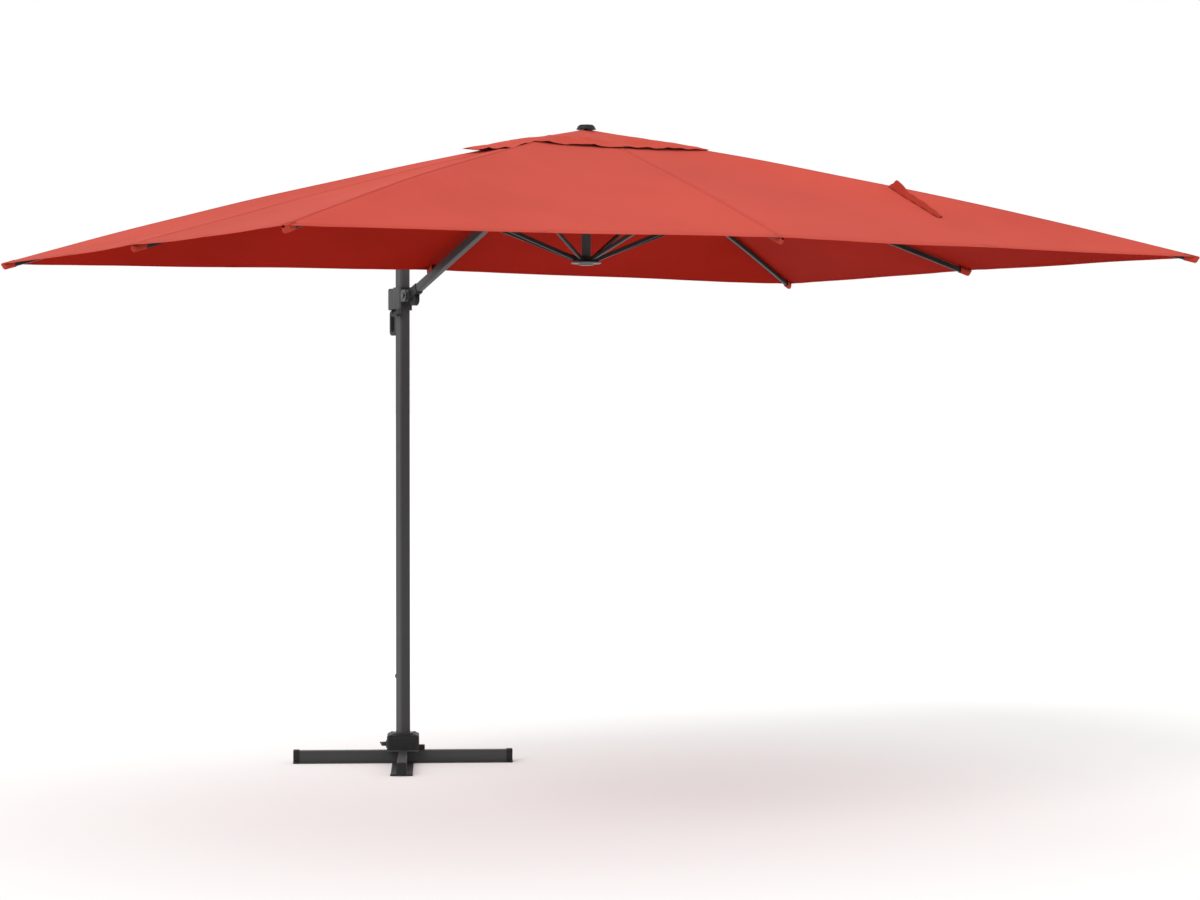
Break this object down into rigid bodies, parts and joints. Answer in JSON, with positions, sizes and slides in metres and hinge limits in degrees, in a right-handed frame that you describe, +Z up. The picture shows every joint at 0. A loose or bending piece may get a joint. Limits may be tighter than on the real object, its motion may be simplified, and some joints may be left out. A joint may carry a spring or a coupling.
{
  "type": "cantilever parasol",
  "caption": "Cantilever garden parasol: rectangular canopy on ribs hung from a tilting arm on a turning side mast with a sliding bracket and a ground cross.",
  "frame": {"origin": "on the ground under the mast axis, centre of the ground cross", "axes": "+X from the mast to the canopy centre, +Y along the canopy's long side, +Z up; canopy open and arm raised"},
  "size_m": [3.6011, 3.92, 2.766],
  "materials": {
    "dark_frame": "anthracite powder coat",
    "ground_steel": "anthracite powder coat",
    "black_plastic": "moulded, fine grain",
    "grey_plastic": "moulded, smooth",
    "zinc_steel": "zinc plated",
    "terracotta": "woven polyester"
  },
  "bodies": {
    "base": {"cross_bar_long": "ground_steel", "cross_bar_left": "ground_steel", "cross_bar_right": "ground_steel", "end_cap_1": "black_plastic", "end_cap_2": "black_plastic", "end_cap_3": "black_plastic", "end_cap_4": "black_plastic", "centre_plate": "ground_steel", "housing": "black_plastic", "base_bolts": "zinc_steel", "pedal_bracket": "ground_steel", "side_tab": "black_plastic"},
    "pedal": {"pedal": "black_plastic"},
    "mast": {"mast_foot": "dark_frame", "mast_tube": "dark_frame", "mast_cap": "black_plastic"},
    "knob": {"clamp_knob": "black_plastic"},
    "slider": {"slider_sleeve": "dark_frame", "slide_bushes": "black_plastic", "slide_handle": "black_plastic", "tilt_ring": "zinc_steel", "ring_cover": "black_plastic", "tilt_pin": "zinc_steel", "handle_bolts": "zinc_steel"},
    "lever": {"lock_lever": "black_plastic"},
    "arm": {"arm_knuckle": "black_plastic", "arm_tube": "dark_frame", "arm_crown_end": "dark_frame", "arm_strut_bracket": "dark_frame", "canopy_arm": "terracotta"},
    "crown": {"crown_hub": "black_plastic", "crown_tube": "dark_frame", "top_cap": "black_plastic", "vent_cap": "terracotta"},
    "runner": {"runner_hub": "black_plastic", "runner_cover": "grey_plastic"},
    "rib_1": {"rib_1": "dark_frame", "canopy_1": "terracotta"},
    "strut_1": {"strut_1": "dark_frame"},
    "rib_2": {"rib_2": "dark_frame", "canopy_2": "terracotta", "strap": "terracotta"},
    "strut_2": {"strut_2": "dark_frame"},
    "rib_3": {"rib_3": "dark_frame", "canopy_3": "terracotta"},
    "strut_3": {"strut_3": "dark_frame"},
    "rib_4": {"rib_4": "dark_frame", "canopy_4": "terracotta"},
    "strut_4": {"strut_4": "dark_frame"},
    "strut_arm": {"strut_arm": "dark_frame"},
    "rib_5": {"rib_5": "dark_frame", "canopy_5": "terracotta"},
    "strut_5": {"strut_5": "dark_frame"},
    "rib_6": {"rib_6": "dark_frame", "canopy_6": "terracotta"},
    "strut_6": {"strut_6": "dark_frame"},
    "rib_7": {"rib_7": "dark_frame", "canopy_7": "terracotta"},
    "strut_7": {"strut_7": "dark_frame"}
  },
  "joints": [
    {"name": "mast_turn", "type": "hinge", "parent": "base", "child": "mast", "pos_m": [0, 0, 0.13], "axis": [0, 0, 1], "continuous": true},
    {"name": "pedal_press", "type": "hinge", "parent": "base", "child": "pedal", "pos_m": [-0.04208, -0.08294, 0.084], "axis": [0.8918, -0.4524, 0], "range_deg": [0, 20]},
    {"name": "knob_turn", "type": "hinge", "parent": "mast", "child": "knob", "pos_m": [-0.033, 0, 0.39], "axis": [-1, 0, 0], "continuous": true},
    {"name": "slider_slide", "type": "slide", "parent": "mast", "child": "slider", "axis": [0, 0, 1], "range_m": [-1.15, 0]},
    {"name": "lever_squeeze", "type": "hinge", "parent": "slider", "child": "lever", "pos_m": [0.012, -0.038, 2.055], "axis": [1, 0, 0], "range_deg": [-25, 0]},
    {"name": "arm_tilt", "type": "hinge", "parent": "slider", "child": "arm", "pos_m": [0.08, 0, 2.13], "axis": [0, 1, 0], "range_deg": [-70, 15]},
    {"name": "canopy_fold", "type": "hinge", "parent": "arm", "child": "crown", "pos_m": [1.64, 0, 2.702], "axis": [0, -1, 0], "range_deg": [-64.02, 0], "deforming": ["canopy_arm", "vent_cap"]},
    {"name": "rib_1_fold", "type": "hinge", "parent": "crown", "child": "rib_1", "pos_m": [1.74, 0, 2.714], "axis": [0, -1, 0], "range_deg": [-65.31, 0], "deforming": ["canopy_1"]},
    {"name": "strut_1_fold", "type": "hinge", "parent": "rib_1", "child": "strut_1", "pos_m": [2.49137, 0, 2.42265], "axis": [0, -1, 0], "range_deg": [0, 136.87]},
    {"name": "rib_2_fold", "type": "hinge", "parent": "crown", "child": "rib_2", "pos_m": [1.71968, 0.04024, 2.714], "axis": [0.8047, -0.5937, 0], "range_deg": [-72.84, 0], "deforming": ["canopy_2", "strap"]},
    {"name": "strut_2_fold", "type": "hinge", "parent": "rib_2", "child": "strut_2", "pos_m": [2.16504, 0.6439, 2.53161], "axis": [0.8047, -0.5937, 0], "range_deg": [0, 137.21]},
    {"name": "rib_3_fold", "type": "hinge", "parent": "crown", "child": "rib_3", "pos_m": [1.69, 0.05, 2.714], "axis": [1, 0, 0], "range_deg": [-69.96, 0], "deforming": ["canopy_3"]},
    {"name": "strut_3_fold", "type": "hinge", "parent": "rib_3", "child": "strut_3", "pos_m": [1.69, 0.8023, 2.49052], "axis": [1, 0, 0], "range_deg": [0, 137.01]},
    {"name": "rib_4_fold", "type": "hinge", "parent": "crown", "child": "rib_4", "pos_m": [1.66032, 0.04024, 2.714], "axis": [0.8047, 0.5937, 0], "range_deg": [-72.84, 0], "deforming": ["canopy_4"]},
    {"name": "strut_4_fold", "type": "hinge", "parent": "rib_4", "child": "strut_4", "pos_m": [1.21496, 0.6439, 2.53161], "axis": [0.8047, 0.5937, 0], "range_deg": [0, 137.21]},
    {"name": "strut_arm_fold", "type": "hinge", "parent": "arm", "child": "strut_arm", "pos_m": [0.89462, 0, 2.39355], "axis": [0, 1, 0], "range_deg": [0, 137.51]},
    {"name": "rib_5_fold", "type": "hinge", "parent": "crown", "child": "rib_5", "pos_m": [1.66032, -0.04024, 2.714], "axis": [-0.8047, 0.5937, 0], "range_deg": [-72.84, 0], "deforming": ["canopy_5"]},
    {"name": "strut_5_fold", "type": "hinge", "parent": "rib_5", "child": "strut_5", "pos_m": [1.21496, -0.6439, 2.53161], "axis": [-0.8047, 0.5937, 0], "range_deg": [0, 137.21]},
    {"name": "rib_6_fold", "type": "hinge", "parent": "crown", "child": "rib_6", "pos_m": [1.69, -0.05, 2.714], "axis": [-1, 0, 0], "range_deg": [-69.96, 0], "deforming": ["canopy_6"]},
    {"name": "strut_6_fold", "type": "hinge", "parent": "rib_6", "child": "strut_6", "pos_m": [1.69, -0.8023, 2.49052], "axis": [-1, 0, 0], "range_deg": [0, 137.01]},
    {"name": "rib_7_fold", "type": "hinge", "parent": "crown", "child": "rib_7", "pos_m": [1.71968, -0.04024, 2.714], "axis": [-0.8047, -0.5937, 0], "range_deg": [-72.84, 0], "deforming": ["canopy_7"]},
    {"name": "strut_7_fold", "type": "hinge", "parent": "rib_7", "child": "strut_7", "pos_m": [2.16504, -0.6439, 2.53161], "axis": [-0.8047, -0.5937, 0], "range_deg": [0, 137.21]},
    {"name": "runner_fold", "type": "hinge", "parent": "strut_3", "child": "runner", "pos_m": [1.69, 0.05, 2.224], "axis": [1, 0, 0], "range_deg": [-67.05, 0]}
  ],
  "couplings": [
    {"joint": "rib_1_fold", "follows": "canopy_fold", "ratio": 1.0201},
    {"joint": "strut_1_fold", "follows": "canopy_fold", "ratio": -2.1379},
    {"joint": "rib_2_fold", "follows": "canopy_fold", "ratio": 1.1377},
    {"joint": "strut_2_fold", "follows": "canopy_fold", "ratio": -2.1432},
    {"joint": "rib_3_fold", "follows": "canopy_fold", "ratio": 1.0927},
    {"joint": "strut_3_fold", "follows": "canopy_fold", "ratio": -2.1401},
    {"joint": "rib_4_fold", "follows": "canopy_fold", "ratio": 1.1377},
    {"joint": "strut_4_fold", "follows": "canopy_fold", "ratio": -2.1432},
    {"joint": "strut_arm_fold", "follows": "canopy_fold", "ratio": -2.148},
    {"joint": "rib_5_fold", "follows": "canopy_fold", "ratio": 1.1377},
    {"joint": "strut_5_fold", "follows": "canopy_fold", "ratio": -2.1432},
    {"joint": "rib_6_fold", "follows": "canopy_fold", "ratio": 1.0927},
    {"joint": "strut_6_fold", "follows": "canopy_fold", "ratio": -2.1401},
    {"joint": "rib_7_fold", "follows": "canopy_fold", "ratio": 1.1377},
    {"joint": "strut_7_fold", "follows": "canopy_fold", "ratio": -2.1432},
    {"joint": "runner_fold", "follows": "canopy_fold", "ratio": 1.0473}
  ]
}
